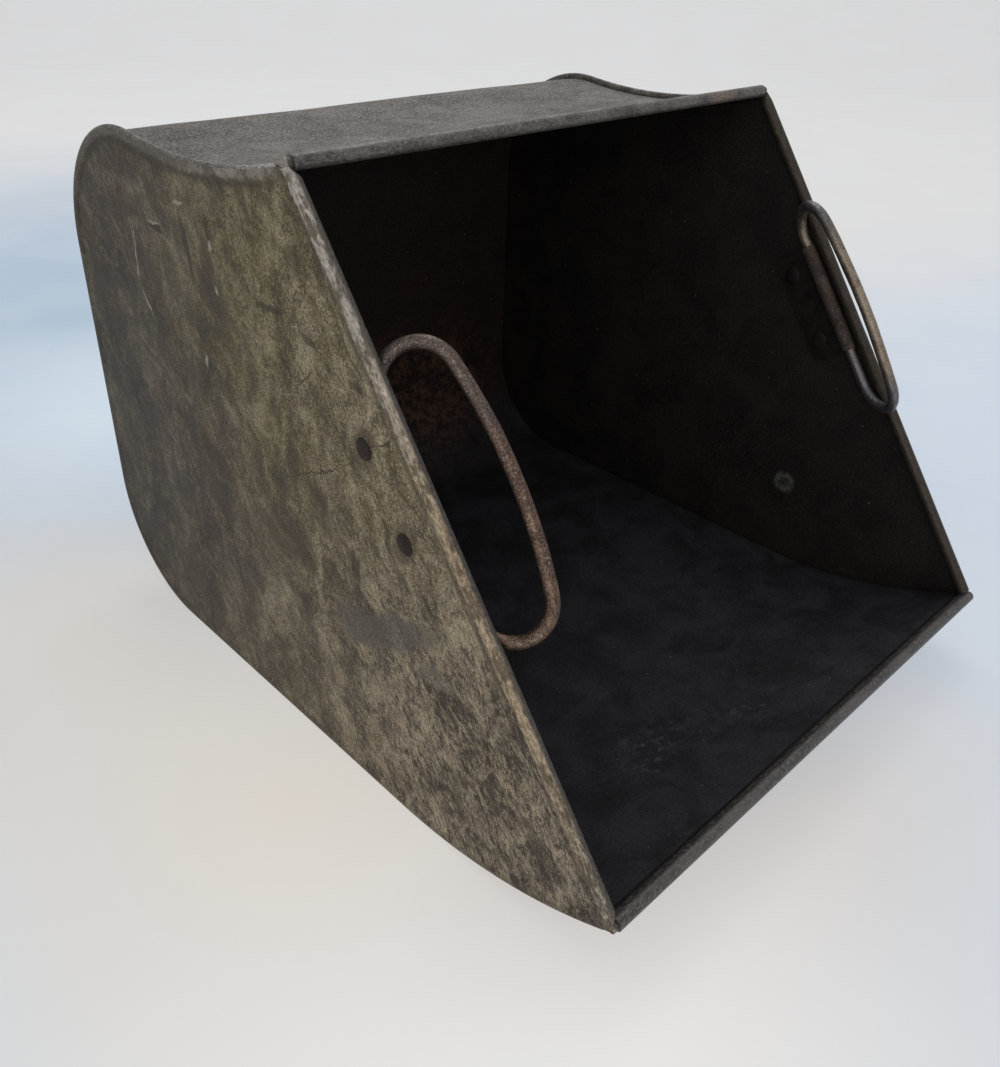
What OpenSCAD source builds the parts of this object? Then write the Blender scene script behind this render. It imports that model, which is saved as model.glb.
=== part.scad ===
// Coal box: a scoop of sheet metal, open at its slanted mouth, with a wired rim and two swinging rings.
// X runs across the width, Y from the mouth to the back and Z up. The origin is on the floor at the middle.

/* [Box] */
// Width over the outer faces of the two sides
box_width = 300; // [220:1:400]
// Depth from the front lip to the back
box_depth = 367; // [330:1:430]
// Height of the mouth's upper corner
mouth_height = 267; // [255:1:280]
// How far the mouth's upper corner stands back from its lower one
mouth_setback = 174; // [150:1:190]
// Height of the front lip
lip_height = 33; // [20:1:45]
// Height of the crest near the back of the top
crest_height = 260; // [245:1:270]

/* [Curves of the wrapped sheet] */
// Radius of the hollow that sweeps up to the mouth
hollow_radius = 297; // [240:1:400]
// Radius of the crest where the top turns down
crest_radius = 64; // [45:1:80]
// Radius of the corner between the back and the floor
heel_radius = 62; // [40:1:80]
// Radius of the floor where it rises to the front lip
lip_radius = 230; // [150:1:280]

/* [Sheet and seams] */
// Thickness of all sheet
sheet = 0.8; // [0.6:0.1:1.2]
// Height of the folded seam above the wrapped sheet
seam_height = 3; // [2.4:0.1:5]
// Gap between folded layers
fold_gap = 0.05; // [0.03:0.01:0.08]
// How much further back from the mouth each folded layer of a seam ends
layer_step = 0.3; // [0.2:0.1:1]
// Width of each side's raised margin past the wrapped sheet
margin_extra = 1.2; // [0.8:0.1:4]
// How far each side's field is set in from its margin
field_set_in = 0.4; // [0.2:0.05:0.5]

/* [Wired rim] */
// Diameter of the wire inside the rim
rim_wire_d = 4; // [3:0.1:5]
// Gap between the rim wire and the sheet rolled round it
wire_gap = 0.1; // [0.05:0.01:0.2]
// Angle through which the sheet is rolled round the wire
curl_angle = 290; // [240:5:300]
// Gap where two rolled edges meet in a corner of the mouth
corner_gap = 0.6; // [0.3:0.1:2]
// How far the rolled edges of the wrapped sheet stop short of the sides' outer faces
curl_short = 0.4; // [0:0.1:2]
// How far the rim wires stop short of the ends of the rolled edges
wire_short = 1; // [0:0.1:3]

/* [Ring handles] */
// Diameter of the ring wire
ring_wire_d = 5.5; // [4:0.1:7]
// Length of a ring's straight inner run
ring_straight = 82; // [76:1:110]
// Radius of a ring's bends
ring_bend = 15.4; // [13.5:0.1:25]
// Angle of the shallow arc in which a ring's outer run bows out
ring_bow = 22; // [8:1:45]
// How much thicker the ring wire is at its bends
bend_swell = 0.04; // [0.03:0.01:0.06]
// Gap between the butted ends of the ring wire, inside the bracket
ring_butt_gap = 0.6; // [0.3:0.1:2]
// Running gap between the ring wire and its bracket
bracket_gap = 0.08; // [0.04:0.01:0.1]
// How far the left ring has slid down in its bracket
left_slip = 10; // [0:0.5:11]
// How far the right ring has slid down in its bracket
right_slip = 8.5; // [0:0.5:11]
// Swing of the left ring, from flat against its side and toward the mouth
left_swing = 144; // [0:1:145]
// Swing of the right ring, from flat against its side and toward the mouth
right_swing = 144; // [0:1:145]
// Least space left between a ring and what it swings up to
swing_clear = 0.3; // [0.2:0.05:1]

/* [Brackets] */
// Length of a bracket along the mouth's edge
bracket_length = 59; // [50:1:59]
// Width of the bracket's flange, from the ring's axis
flange_reach = 23; // [22:0.5:26]
// Gap between a bracket and the rolled edge beside it
bracket_clear = 1.1; // [0.5:0.1:6]
// Distance of the left bracket's middle from the mouth's upper corner
left_bracket_place = 118; // [100:0.5:150]
// Distance of the right bracket's middle from the mouth's upper corner
right_bracket_place = 113.5; // [100:0.5:150]

/* [Rivets] */
// Diameter of a rivet's shank
rivet_d = 4; // [3:0.1:5]
// Diameter of a rivet's heads
rivet_head_d = 9; // [6:0.1:9.5]
// Height of a rivet's heads
rivet_head_h = 1.1; // [0.8:0.1:2]
// Distance between the two rivets of a bracket
rivet_pitch = 38; // [25:1:40]
// Distance of the rivets from the ring's axis
rivet_offset = 16; // [12:0.5:17]
// Gap round a rivet's shank
rivet_gap = 0.05; // [0.03:0.01:0.1]

/* [Hidden] */
$fn = 64;
// Angles between the points of the outline and between those of a rolled edge
edge_step = 3;
curl_step = 15;

// The profile is drawn as [Y, Z], with Y counted from the mouth's lower corner.
// Half the width is counted from the middle of the box, and depth inward from the outer line of the seams.
half_width = box_width / 2;
lower_corner = [0, lip_height];
upper_corner = [mouth_setback, mouth_height];
mouth_length = norm(lower_corner - upper_corner);
// Down along the mouth's edge, and from it into the box
edge_dir = (lower_corner - upper_corner) / mouth_length;
inward_dir = [-edge_dir[1], edge_dir[0]];

// A rolled edge: its outer radius, and the depth of its centre where the wrapped sheet is rolled outward
curl_out = rim_wire_d / 2 + wire_gap + sheet;
curl_depth = seam_height + sheet - curl_out;

// The front lip, whose rolled edge is the foremost part of the box
lip_angle = acos(1 - lip_height / lip_radius);
lip_centre = [lip_radius * sin(lip_angle), lip_radius];
lip_curl_angle = cut_angle(lip_centre, lip_radius - curl_depth, curl_out);
lip_curl = lip_centre + (lip_radius - curl_depth) * ray(lip_curl_angle);
front_y = lip_curl[0] - curl_out;
back_y = front_y + box_depth;

// Heel, crest and hollow
heel_centre = [back_y - heel_radius, heel_radius];
crest_centre = [back_y - crest_radius, crest_height - crest_radius];
hollow_centre = upper_meeting(crest_centre, hollow_radius + crest_radius, upper_corner, hollow_radius);
hollow_start = heading(crest_centre - hollow_centre);
crest_end = hollow_start + 180;
top_curl_angle = cut_angle(hollow_centre, hollow_radius + curl_depth, curl_out);
top_curl = hollow_centre + (hollow_radius + curl_depth) * ray(top_curl_angle);

// The seams stop where the rolled edges begin
seam_stop = 2 * curl_out + corner_gap;
seam_root = seam_height + sheet;

// The three layers of a seam, counted inward from a side's outer face: side, flange and hem
flange_outer = half_width - sheet - fold_gap;
hem_outer = flange_outer - sheet - fold_gap;
hem_inner = hem_outer - sheet;

// The margin and the field of a side
margin_width = seam_height + 2 * sheet + margin_extra;
mouth_margin = 2 * curl_out + sheet + margin_extra;
margin_inner = half_width - sheet;
field_outer = half_width - field_set_in;
field_inner = field_outer - sheet;

// The sides' rolled edges stop short of the wrapped sheet
side_depth = seam_height + sheet + corner_gap;
side_curl_from = edge_reach(ray(heading(upper_corner - hollow_centre)), edge_dir);
side_curl_to = mouth_length - edge_reach(-ray(heading(lower_corner - lip_centre)), -edge_dir);

// The ring's axis and the tube of its bracket, which lies against the side's field
ring_r = ring_wire_d / 2;
tube_bore_r = ring_r + bracket_gap;
tube_r = tube_bore_r + sheet;
axis_inset = 2 * curl_out + bracket_clear + tube_r;
axis_height = field_inner - tube_r;
flange_thick = 2 * sheet + fold_gap;

// The ring's outer run, a shallow arc that leads on from the bends, and the angle by which a bend laps onto it
half_bow = ring_bow / 2;
outer_run_r = ring_straight / (2 * sin(half_bow)) + ring_bend;
ring_width = ring_bend * (1 + cos(half_bow)) + outer_run_r * (1 - cos(half_bow));
bend_lap = 2;

// Swing at which a ring comes up to the rolled edge, and the slip at which its bend comes up to the bracket
rolled_edge_off = [axis_inset - curl_out, half_width - curl_out - axis_height];
swing_most = 180 + atan2(rolled_edge_off[1], rolled_edge_off[0])
    - asin((curl_out + ring_r + swing_clear) / norm(rolled_edge_off));
slip_most = (ring_straight - bracket_length) / 2 - swing_clear;

// A unit vector at an angle
function ray(a) = [cos(a), sin(a)];

// Heading of a vector as an angle between -270 and 90 degrees
function heading(v) =
    let (a = atan2(v[1], v[0]))
    a > 90 ? a - 360 : a;

// The upper of the two points at distance r1 from a and r2 from b
function upper_meeting(a, r1, b, r2) =
    let (
        d = norm(b - a),
        t = (b - a) / d,
        x = (r1 * r1 - r2 * r2 + d * d) / (2 * d),
        h = sqrt(r1 * r1 - x * x)
    )
    a + x * t + h * (t[0] > 0 ? [-t[1], t[0]] : [t[1], -t[0]]);

// Angle at which a circle of the profile crosses the line that lies inset from the mouth's edge
function cut_angle(centre, radius, inset) =
    heading(inward_dir) - acos((inset - (centre - upper_corner) * inward_dir) / radius);

// Length along the mouth's edge at which a side's rolled edge clears the sheet with this inward direction
function edge_reach(inward, along) =
    max(side_depth, side_depth - 2 * curl_out * (inward * inward_dir)) / (inward * along);

// Points on an arc, all or without the first
function arc_points(centre, radius, from, to, step, skip = 0) =
    let (steps = ceil(abs(to - from) / step))
    [for (i = [skip:steps]) centre + radius * ray(from + (to - from) * i / steps)];

// Points of the lip and of the hollow at a depth, where they cross a line inset from the mouth's edge
function lip_point(depth, inset) =
    lip_centre + (lip_radius - depth) * ray(cut_angle(lip_centre, lip_radius - depth, inset));
function hollow_point(depth, inset) =
    hollow_centre + (hollow_radius + depth) * ray(cut_angle(hollow_centre, hollow_radius + depth, inset));

// The outline at a depth, from one angle on the lip round to one on the hollow
function outline(depth, lip_from, hollow_to) = concat(
    arc_points(lip_centre, lip_radius - depth, lip_from, -90, edge_step),
    arc_points(heel_centre, heel_radius - depth, -90, 0, edge_step),
    arc_points(crest_centre, crest_radius - depth, 0, crest_end, edge_step),
    arc_points(hollow_centre, hollow_radius + depth, hollow_start, hollow_to, edge_step, 1)
);

// The same, cut off along a line inset from the mouth's edge
function cut_outline(depth, inset) =
    outline(depth, cut_angle(lip_centre, lip_radius - depth, inset),
        cut_angle(hollow_centre, hollow_radius + depth, inset));

// One face of the wrapped sheet at a depth, rolled edges and all
function sheet_face(depth) =
    let (roll = curl_out - seam_root + depth)
    concat(
        arc_points(lip_curl, roll, lip_curl_angle + 180 + curl_angle, lip_curl_angle + 180, curl_step),
        skip_first(outline(depth, lip_curl_angle, top_curl_angle)),
        arc_points(top_curl, roll, top_curl_angle, top_curl_angle - curl_angle, curl_step, 1)
    );

function skip_first(list) = [for (i = [1:len(list) - 1]) list[i]];

function reversed(list) = [for (i = [len(list) - 1:-1:0]) list[i]];

// Puts what is drawn in the profile, with X as its height, into the box's place
module in_profile() {
    translate([0, -front_y - box_depth / 2, 0])
        rotate([90, 0, 90])
            children();
}

// Draws in [inset, X, along] at a point of the mouth's edge
module edge_frame(along) {
    start = upper_corner + along * edge_dir;
    multmatrix([
        [inward_dir[0], 0, edge_dir[0], start[0]],
        [inward_dir[1], 0, edge_dir[1], start[1]],
        [0, 1, 0, 0],
        [0, 0, 0, 1]
    ])
        children();
}

// A band of sheet between two depths, raised from one X to another
module band(depth_from, depth_to, inset, x_from, x_to) {
    translate([0, 0, x_from])
        linear_extrude(x_to - x_from)
            polygon(concat(cut_outline(depth_from, inset), reversed(cut_outline(depth_to, inset))));
}

// Points of a rolled edge in section, from the angle at which the flat sheet runs into it
function curl_points(centre, start, turn) = concat(
    arc_points(centre, curl_out, start, start + turn, curl_step),
    arc_points(centre, curl_out - sheet, start + turn, start, curl_step)
);

// The ends of one of the wrapped sheet's rolled edges, out past its flanges
module curl_ends(centre, start, turn) {
    inner = flange_outer - sheet;
    outer = half_width - curl_short;
    for (x = [-outer, inner])
        translate([0, 0, x])
            linear_extrude(outer - inner)
                polygon(curl_points(centre, start, turn));
}

// The sheet that makes the floor, the back and the top, with both its rolled edges
module body_sheet() {
    flange_tip = sheet + fold_gap;
    flange_foot = seam_height + sheet / 2;
    flange_stop = seam_stop + 3 * layer_step;
    color("dimgray")
        in_profile() {
            translate([0, 0, -flange_outer])
                linear_extrude(2 * flange_outer)
                    polygon(concat(sheet_face(seam_height), reversed(sheet_face(seam_root))));
            band(flange_tip, flange_foot, flange_stop, flange_outer - sheet, flange_outer);
            band(flange_tip, flange_foot, flange_stop, -flange_outer, sheet - flange_outer);
            curl_ends(lip_curl, lip_curl_angle + 180, curl_angle);
            curl_ends(top_curl, top_curl_angle, -curl_angle);
        }
}

// The right side: a margin folded over the body's flange, a set-in field and a rolled edge along the mouth
module side_plate(middle) {
    in_profile()
        difference() {
            union() {
                band(0, margin_width, seam_stop, margin_inner, half_width);
                band(0, sheet, seam_stop + layer_step, hem_inner, margin_inner + sheet / 2);
                band(sheet / 2, seam_height - fold_gap, seam_stop + 2 * layer_step, hem_inner, hem_outer);
                translate([0, 0, field_inner])
                    linear_extrude(sheet)
                        polygon(cut_outline(margin_width - sheet, mouth_margin - sheet));
                translate([0, 0, margin_inner])
                    linear_extrude(sheet)
                        polygon([hollow_point(side_depth, curl_out + sheet),
                            lip_point(side_depth, curl_out + sheet),
                            lip_point(side_depth, mouth_margin), hollow_point(side_depth, mouth_margin)]);
                edge_frame(side_curl_from)
                    linear_extrude(side_curl_to - side_curl_from)
                        polygon(concat(
                            [[curl_out + 2 * sheet, margin_inner], [curl_out + 2 * sheet, half_width]],
                            curl_points([curl_out, half_width - curl_out], 90, curl_angle)
                        ));
            }
            at_rivets(middle)
                rivet_hole();
        }
}

module right_side() {
    color("darkolivegreen")
        side_plate(right_bracket_place);
}

module left_side() {
    color("darkolivegreen")
        mirror([1, 0, 0])
            side_plate(left_bracket_place);
}

// The wire inside a rolled edge of the wrapped sheet
module cross_wire(place) {
    length = box_width - 2 * curl_short - 2 * wire_short;
    in_profile()
        translate([place[0], place[1], -length / 2])
            cylinder(h = length, d = rim_wire_d);
}

module top_rim_wire() {
    color("slategray")
        cross_wire(top_curl);
}

module bottom_rim_wire() {
    color("slategray")
        cross_wire(lip_curl);
}

// The wire inside the rolled edge of the right side
module side_wire() {
    in_profile()
        edge_frame(side_curl_from + wire_short)
            translate([curl_out, half_width - curl_out, 0])
                cylinder(h = side_curl_to - side_curl_from - 2 * wire_short, d = rim_wire_d);
}

module right_rim_wire() {
    color("slategray")
        side_wire();
}

module left_rim_wire() {
    color("slategray")
        mirror([1, 0, 0])
            side_wire();
}

// A ring of wire: its inner run on the axis in two halves, two bends and the bowed outer run
module ring() {
    for (side = [-1, 1]) {
        translate([0, 0, side * (ring_straight + ring_butt_gap) / 4])
            cylinder(h = (ring_straight - ring_butt_gap) / 2, r = ring_r, center = true);
        translate([ring_bend, 0, side * ring_straight / 2])
            rotate([side * 90, 0, 180])
                wire_arc(ring_bend, 180 - half_bow + bend_lap, ring_r + bend_swell);
    }
    translate([ring_width - outer_run_r, 0, 0])
        rotate([90, half_bow, 0])
            wire_arc(outer_run_r, ring_bow, ring_r);
}

// Wire bent round the origin through an angle
module wire_arc(radius, turn, wire_r) {
    rotate_extrude(angle = turn)
        translate([radius, 0])
            circle(wire_r);
}

// A ring of the right side, slid down from its bracket's middle and swung up
module placed_ring(middle, slip, swing) {
    in_profile()
        edge_frame(middle + min(slip, slip_most))
            translate([axis_inset, axis_height, 0])
                rotate(-min(swing, swing_most))
                    ring();
}

module right_handle() {
    color("peru")
        placed_ring(right_bracket_place, right_slip, right_swing);
}

module left_handle() {
    color("peru")
        mirror([1, 0, 0])
            placed_ring(left_bracket_place, left_slip, left_swing);
}

// A strip wrapped round the ring's inner run, its two ends laid together as a riveted flange
module bracket(middle) {
    in_profile()
        difference() {
            edge_frame(middle - bracket_length / 2)
                linear_extrude(bracket_length)
                    difference() {
                        union() {
                            translate([axis_inset, axis_height])
                                circle(tube_r);
                            translate([axis_inset, field_inner - flange_thick])
                                square([flange_reach, flange_thick]);
                        }
                        translate([axis_inset, axis_height])
                            circle(tube_bore_r);
                        translate([axis_inset + tube_r, field_inner - sheet - fold_gap])
                            square([flange_reach, fold_gap]);
                    }
            at_rivets(middle)
                rivet_hole();
        }
}

module right_bracket() {
    color("gray")
        bracket(right_bracket_place);
}

module left_bracket() {
    color("gray")
        mirror([1, 0, 0])
            bracket(left_bracket_place);
}

// Draws at both rivets of a bracket of the right side, with the height running out through flange and plate
module at_rivets(middle) {
    for (end = [-1, 1])
        at_rivet(middle, end)
            children();
}

module at_rivet(middle, end) {
    edge_frame(middle + end * rivet_pitch / 2)
        translate([axis_inset + rivet_offset, field_inner - flange_thick, 0])
            rotate([-90, 0, 0])
                children();
}

module rivet_hole() {
    translate([0, 0, -sheet])
        cylinder(h = flange_thick + 3 * sheet, r = rivet_d / 2 + rivet_gap);
}

// A rivet: its shank through plate and flange, and a low dome at each end
module rivet(middle, end) {
    grip = flange_thick + sheet;
    in_profile()
        at_rivet(middle, end) {
            cylinder(h = grip, d = rivet_d);
            translate([0, 0, grip])
                rivet_head();
            rotate([180, 0, 0])
                rivet_head();
        }
}

module rivet_head() {
    dome_r = (rivet_head_d * rivet_head_d / 4 + rivet_head_h * rivet_head_h) / (2 * rivet_head_h);
    rotate_extrude()
        intersection() {
            translate([0, rivet_head_h - dome_r])
                circle(dome_r);
            square([rivet_head_d, rivet_head_d]);
        }
}

module right_rivet_upper() {
    color("silver")
        rivet(right_bracket_place, -1);
}

module right_rivet_lower() {
    color("silver")
        rivet(right_bracket_place, 1);
}

module left_rivet_upper() {
    color("silver")
        mirror([1, 0, 0])
            rivet(left_bracket_place, -1);
}

module left_rivet_lower() {
    color("silver")
        mirror([1, 0, 0])
            rivet(left_bracket_place, 1);
}

body_sheet();
left_side();
right_side();
top_rim_wire();
bottom_rim_wire();
left_rim_wire();
right_rim_wire();
left_handle();
right_handle();
left_bracket();
right_bracket();
left_rivet_upper();
left_rivet_lower();
right_rivet_upper();
right_rivet_lower();
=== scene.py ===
from math import acos, atan2, cos, degrees, pi, radians, sin, sqrt

import bmesh
import bpy
import numpy as np
from mathutils import Matrix
from mathutils.geometry import delaunay_2d_cdt


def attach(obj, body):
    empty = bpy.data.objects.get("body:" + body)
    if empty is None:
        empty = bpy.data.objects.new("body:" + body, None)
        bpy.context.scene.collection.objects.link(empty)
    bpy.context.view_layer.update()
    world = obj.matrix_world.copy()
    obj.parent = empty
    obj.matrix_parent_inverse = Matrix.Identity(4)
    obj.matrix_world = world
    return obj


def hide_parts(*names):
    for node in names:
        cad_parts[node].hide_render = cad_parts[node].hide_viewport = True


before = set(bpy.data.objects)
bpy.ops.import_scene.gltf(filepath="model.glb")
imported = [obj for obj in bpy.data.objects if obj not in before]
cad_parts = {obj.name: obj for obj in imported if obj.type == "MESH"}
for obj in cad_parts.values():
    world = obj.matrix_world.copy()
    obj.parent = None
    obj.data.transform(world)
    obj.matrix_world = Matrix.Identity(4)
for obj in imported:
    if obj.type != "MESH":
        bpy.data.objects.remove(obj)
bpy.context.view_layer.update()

# Sizes in millimetres and angles in degrees, as in the CAD. Profile points are [Y, Z], with Y counted from
# the mouth's lower corner. Insets are measured inward from the mouth's edge, depths from the outline.
HALF_WIDTH = 150.0
BOX_DEPTH = 367.0
LIP_HEIGHT = 33.0
LIP_RADIUS = 230.0
CREST_HEIGHT = 260.0
CREST_RADIUS = 64.0
HEEL_RADIUS = 62.0
HOLLOW_RADIUS = 297.0
SHEET = 0.8
SEAM_HEIGHT = 3.0
CURL_OUT = 2.9
CURL_ANGLE = 290.0
CURL_SHORT = 0.4
FIELD_SET_IN = 0.4
RING_R = 2.75
RING_STRAIGHT = 82.0
RING_BEND = 15.4
HALF_BOW = radians(11.0)
BRACKET_GAP = 0.08
BRACKET_LENGTH = 59.0
AXIS_INSET = 2 * CURL_OUT + 1.1 + RING_R + BRACKET_GAP + SHEET
MIDDLE = {"left": 118.0, "right": 113.5}
SLIP = {"left": 10.0, "right": 8.5}
SWING = 144.0
FLANGE_REACH = 23.0
RIVET_PITCH = 38.0
RIVET_OFFSET = 16.0
RIVET_HEAD_R = 4.5
RIVET_HEAD_H = 1.09
RIVET_SHANK_R = 2.0
# Gaps between a fold's layers, in a roll round its wire, and from a ring's butted ends to its middle
FOLD_GAP = 0.05
ROLL_SLACK = 0.03
HALF_BUTT_GAP = 0.3
# The seam's bead: its radius, the depth of the soft valley beside it, and the hem inside (depth, rise)
BEAD = 1.25
VALLEY = 6.6
HEM = ((2.0, 0.0), (2.5, 0.0), (2.78, 0.1), (2.92, 0.28))
# Height of the dents, how the roll is drawn in at its open tips, and the wire's wear
SHEET_DENT = 0.28
SIDE_DENT = 0.32
RING_WOBBLE = 0.25
TIP_LENGTH = 5.5
TIP_TAPER = 1.25
WIRE_WEAR = 0.035

LOWER = np.array([0.0, LIP_HEIGHT])
UPPER = np.array([174.0, 267.0])
MOUTH_LENGTH = float(np.hypot(*(LOWER - UPPER)))
ALONG = (LOWER - UPPER) / MOUTH_LENGTH
INWARD = np.array([-ALONG[1], ALONG[0]])
SIDE_DEPTH = SEAM_HEIGHT + SHEET + 0.6
SEAM_STOP = 2 * CURL_OUT + 0.6


def ray(a):
    return np.stack([np.cos(np.radians(a)), np.sin(np.radians(a))], -1)


def heading(v):
    a = degrees(atan2(v[1], v[0]))
    return a - 360 if a > 90 else a


def cut_angle(centre, radius, inset):
    """Angle at which a circle of the profile crosses the line inset from the mouth's edge."""
    return heading(INWARD) - degrees(acos((inset - (centre - UPPER) @ INWARD) / radius))


LIP_TURN = degrees(acos(1 - LIP_HEIGHT / LIP_RADIUS))
LIP_CENTRE = np.array([LIP_RADIUS * sin(radians(LIP_TURN)), LIP_RADIUS])
CURL_DEPTH = SEAM_HEIGHT + SHEET - CURL_OUT
LIP_CURL_ANGLE = cut_angle(LIP_CENTRE, LIP_RADIUS - CURL_DEPTH, CURL_OUT)
LIP_CURL = LIP_CENTRE + (LIP_RADIUS - CURL_DEPTH) * ray(LIP_CURL_ANGLE)
FRONT = LIP_CURL[0] - CURL_OUT
BACK = FRONT + BOX_DEPTH
HEEL_CENTRE = np.array([BACK - HEEL_RADIUS, HEEL_RADIUS])
CREST_CENTRE = np.array([BACK - CREST_RADIUS, CREST_HEIGHT - CREST_RADIUS])


def upper_meeting(a, r1, b, r2):
    """The upper point at r1 from a and r2 from b, where b stands to the left."""
    d = np.hypot(*(b - a))
    t = (b - a) / d
    x = (r1 * r1 - r2 * r2 + d * d) / (2 * d)
    return a + x * t + sqrt(r1 * r1 - x * x) * np.array([t[1], -t[0]])


HOLLOW_CENTRE = upper_meeting(CREST_CENTRE, HOLLOW_RADIUS + CREST_RADIUS, UPPER, HOLLOW_RADIUS)
HOLLOW_START = heading(CREST_CENTRE - HOLLOW_CENTRE)
TOP_CURL_ANGLE = cut_angle(HOLLOW_CENTRE, HOLLOW_RADIUS + CURL_DEPTH, CURL_OUT)
TOP_CURL = HOLLOW_CENTRE + (HOLLOW_RADIUS + CURL_DEPTH) * ray(TOP_CURL_ANGLE)


def edge_reach(inward, along):
    """How far along the mouth a side's roll stays clear of a cross roll."""
    return max(SIDE_DEPTH, SIDE_DEPTH - 2 * CURL_OUT * (inward @ INWARD)) / (inward @ along)


CURL_TO = MOUTH_LENGTH - edge_reach(-ray(heading(LOWER - LIP_CENTRE)), -ALONG)


def arc(centre, radius, a, b, n, skip=0):
    return centre + radius * ray(a + (b - a) * np.arange(skip, n + 1) / n)


def line(a, b, n):
    """Points between a and b, without either."""
    t = np.arange(1, n)[:, None] / n
    return a + (b - a) * t


def outline(depth, lip_from, hollow_to, fine=1.0):
    """Stations of the outline at a depth, from an angle on the lip round to one on the hollow."""
    n = [max(4, int(k * fine)) for k in (56, 84, 44, 60, 50, 58)]
    lip = arc(LIP_CENTRE, LIP_RADIUS - depth, lip_from, -90, n[0])
    heel = arc(HEEL_CENTRE, HEEL_RADIUS - depth, -90, 0, n[2])
    crest = arc(CREST_CENTRE, CREST_RADIUS - depth, 0, HOLLOW_START + 180, n[4])
    hollow = arc(HOLLOW_CENTRE, HOLLOW_RADIUS + depth, HOLLOW_START, hollow_to, n[5], 1)
    floor, back = line(lip[-1], heel[0], n[1]), line(heel[-1], crest[0], n[3])
    return np.concatenate([lip, floor, heel, back, crest, hollow])


def cut_outline(depth, inset, fine=1.0):
    return outline(depth, cut_angle(LIP_CENTRE, LIP_RADIUS - depth, inset),
                   cut_angle(HOLLOW_CENTRE, HOLLOW_RADIUS + depth, inset), fine)


def lip_point(depth, inset):
    return LIP_CENTRE + (LIP_RADIUS - depth) * ray(cut_angle(LIP_CENTRE, LIP_RADIUS - depth, inset))


def edge_point(along, inset):
    return UPPER + np.multiply.outer(along, ALONG) + np.multiply.outer(inset, INWARD)


EDGE_LINE = cut_outline(0.0, 0.0, 4.0)


def depth_of(p):
    """Distance of profile points from the outline and from the mouth's edge."""
    d = np.full(len(p), 1e9)
    for k in range(0, len(EDGE_LINE), 64):
        part = EDGE_LINE[k:k + 64]
        away = p[:, None] - part[None]
        d = np.minimum(d, np.hypot(away[..., 0], away[..., 1]).min(1))
    return d, (p - UPPER) @ INWARD


def place(x, p):
    """World metres of profile points p at x."""
    return np.stack(np.broadcast_arrays(x, p[..., 0] - FRONT - BOX_DEPTH / 2, p[..., 1]), -1) / 1000


def smooth(t):
    t = np.clip(t, 0, 1)
    return t * t * (3 - 2 * t)


def waves(seed, count, shortest, longest, dims=2):
    """A smooth random field of sines, with values mostly between -1 and 1."""
    rng = np.random.default_rng(seed)
    length = shortest * (longest / shortest) ** rng.random(count)
    way = rng.normal(size=(count, dims))
    way *= (2 * pi / length / np.linalg.norm(way, axis=1))[:, None]
    phase = rng.random(count) * 2 * pi
    gain = np.sqrt(length / longest)
    gain /= np.sqrt((gain ** 2).sum() / 2) * 1.6

    def field(p):
        return (np.sin(p @ way.T + phase) * gain).sum(-1)

    return field


def added(name, data):
    """A new object in the scene."""
    obj = bpy.data.objects.new(name, data)
    bpy.context.scene.collection.objects.link(obj)
    return obj


class Build:
    """Gathers points and faces for one piece, in metres."""

    def __init__(self):
        self.points, self.faces, self.slots, self.count = [], [], [], 0

    def add(self, points):
        points = np.asarray(points, float).reshape(-1, 3)
        first = self.count
        self.points.append(points)
        self.count += len(points)
        return first

    def face(self, ids, slot=0):
        self.faces.append(tuple(int(i) for i in ids))
        self.slots.append(slot)

    def grid(self, points, flip=False, loop=False, slot=0):
        """Quads over points[n, m], with m closed where loop is set, and a slot for all or for each row."""
        n, m = points.shape[:2]
        ids = self.add(points) + np.arange(n * m).reshape(n, m)
        slots = np.broadcast_to(slot, (n,))
        for j in range(m if loop else m - 1):
            k = (j + 1) % m
            for i in range(n - 1):
                q = (ids[i, j], ids[i + 1, j], ids[i + 1, k], ids[i, k])
                self.face(q[::-1] if flip else q, slots[i])
        return ids

    def strip(self, a, b, flip=False, slot=0):
        """Quads between two rows of ids."""
        for i in range(len(a) - 1):
            q = (a[i], a[i + 1], b[i + 1], b[i])
            self.face(q[::-1] if flip else q, slot)

    def make(self, name, materials, mirror=False, weld=2e-6, angle=40):
        points = np.concatenate(self.points)
        if mirror:
            points = points * [-1, 1, 1]
        mesh = bpy.data.meshes.new(name)
        mesh.from_pydata(points.tolist(), [], [f[::-1] for f in self.faces] if mirror else self.faces)
        mesh.polygons.foreach_set("material_index", np.array(self.slots, np.int32))
        mesh.polygons.foreach_set("use_smooth", np.ones(len(self.faces), bool))
        for m in materials:
            mesh.materials.append(m)
        if weld:
            bm = bmesh.new()
            bm.from_mesh(mesh)
            bmesh.ops.remove_doubles(bm, verts=bm.verts, dist=weld)
            bmesh.ops.recalc_face_normals(bm, faces=bm.faces)
            bm.to_mesh(mesh)
            bm.free()
        mesh.update()
        mesh.set_sharp_from_angle(angle=radians(angle))
        return added(name, mesh)


def two_skins(build, outer, inner, close=(True, True, True, True), slot=0, inner_slot=None, edge_slot=None):
    """A sheet between two grids, closed along chosen edges: first row, last row, first and last column."""
    inner_slot = slot if inner_slot is None else inner_slot
    edge_slot = slot if edge_slot is None else edge_slot
    a = build.grid(outer, slot=slot)
    b = build.grid(inner, flip=True, slot=inner_slot)
    edges = ((a[0], b[0], False), (a[-1], b[-1], True), (a[:, 0], b[:, 0], True), (a[:, -1], b[:, -1], False))
    for closed, (row, other, flip) in zip(close, edges):
        if closed:
            build.strip(row, other, flip, edge_slot)


# The turn about X that stands the mouth's edge upright, and the edge's place then, in metres
SLANT = atan2(-ALONG[0], -ALONG[1])
EDGE_AT = float((UPPER - [FRONT + BOX_DEPTH / 2, 0]) @ INWARD) / 1000


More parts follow.
